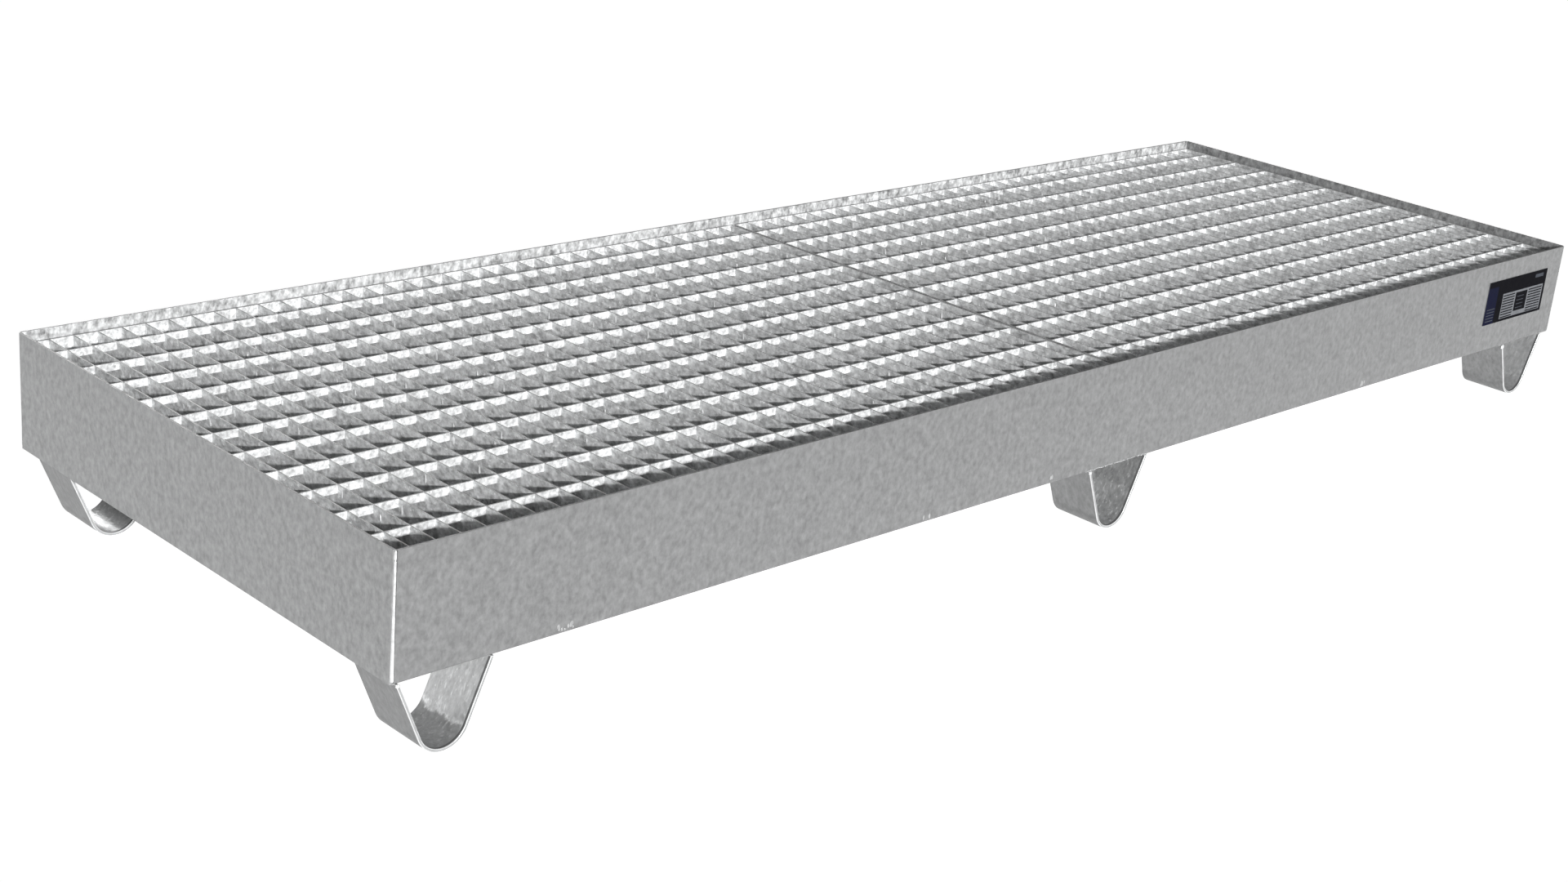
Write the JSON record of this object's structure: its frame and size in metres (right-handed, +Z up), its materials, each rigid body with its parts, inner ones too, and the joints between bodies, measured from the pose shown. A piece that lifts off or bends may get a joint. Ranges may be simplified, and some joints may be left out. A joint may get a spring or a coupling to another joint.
{
  "type": "spill tray pallet",
  "caption": "Low rectangular galvanised steel spill tray on bent strip feet, with lift-out gratings forming a deck that holds drums above the sump.",
  "frame": {"origin": "on the ground under the centre of the tray, level with the bottoms of the feet", "axes": "+X along the length towards the end with the rating label, +Y from the front to the back, +Z up"},
  "size_m": [2.4, 0.8009, 0.25],
  "materials": {
    "galvanised_sheet": "hot-dip galvanised sheet, matt grey zinc with fine mottling",
    "galvanised_strip": "hot-dip galvanised bent strip, matt grey with bright zinc flecks",
    "galvanised_angle": "hot-dip galvanised rolled angle",
    "galvanised_lattice": "hot-dip galvanised grating bars, bright zinc with runs and specks",
    "galvanised_edge_bar": "hot-dip galvanised flat bar, bright zinc",
    "weld_bead": "zinc-coated weld bead, smooth and bright",
    "label_foil": "printed adhesive foil, dark header and pale table fields, no lettering"
  },
  "bodies": {
    "tray": {"sump_pan": "galvanised_sheet", "left_end_wall": "galvanised_sheet", "right_end_wall": "galvanised_sheet", "front_left_corner_weld": "weld_bead", "front_right_corner_weld": "weld_bead", "back_left_corner_weld": "weld_bead", "back_right_corner_weld": "weld_bead", "left_seam_weld": "weld_bead", "right_seam_weld": "weld_bead", "front_support_angle": "galvanised_angle", "back_support_angle": "galvanised_angle", "front_left_foot": "galvanised_strip", "front_middle_foot": "galvanised_strip", "front_right_foot": "galvanised_strip", "back_left_foot": "galvanised_strip", "back_middle_foot": "galvanised_strip", "back_right_foot": "galvanised_strip", "front_left_foot_left_weld": "weld_bead", "front_left_foot_right_weld": "weld_bead", "front_middle_foot_left_weld": "weld_bead", "front_middle_foot_right_weld": "weld_bead", "front_right_foot_left_weld": "weld_bead", "front_right_foot_right_weld": "weld_bead", "back_left_foot_left_weld": "weld_bead", "back_left_foot_right_weld": "weld_bead", "back_middle_foot_left_weld": "weld_bead", "back_middle_foot_right_weld": "weld_bead", "back_right_foot_left_weld": "weld_bead", "back_right_foot_right_weld": "weld_bead", "rating_label": "label_foil"},
    "left_grating": {"left_grating_lattice": "galvanised_lattice", "left_grating_front_edge_bar": "galvanised_edge_bar", "left_grating_back_edge_bar": "galvanised_edge_bar", "left_grating_left_end_bar": "galvanised_edge_bar", "left_grating_right_end_bar": "galvanised_edge_bar"},
    "right_grating": {"right_grating_lattice": "galvanised_lattice", "right_grating_front_edge_bar": "galvanised_edge_bar", "right_grating_back_edge_bar": "galvanised_edge_bar", "right_grating_left_end_bar": "galvanised_edge_bar", "right_grating_right_end_bar": "galvanised_edge_bar"}
  },
  "joints": [
    {"name": "left_grating_lift", "type": "slide", "parent": "tray", "child": "left_grating", "axis": [0, 0, 1], "range_m": [0, 0.2]},
    {"name": "right_grating_lift", "type": "slide", "parent": "tray", "child": "right_grating", "axis": [0, 0, 1], "range_m": [0, 0.2]}
  ]
}
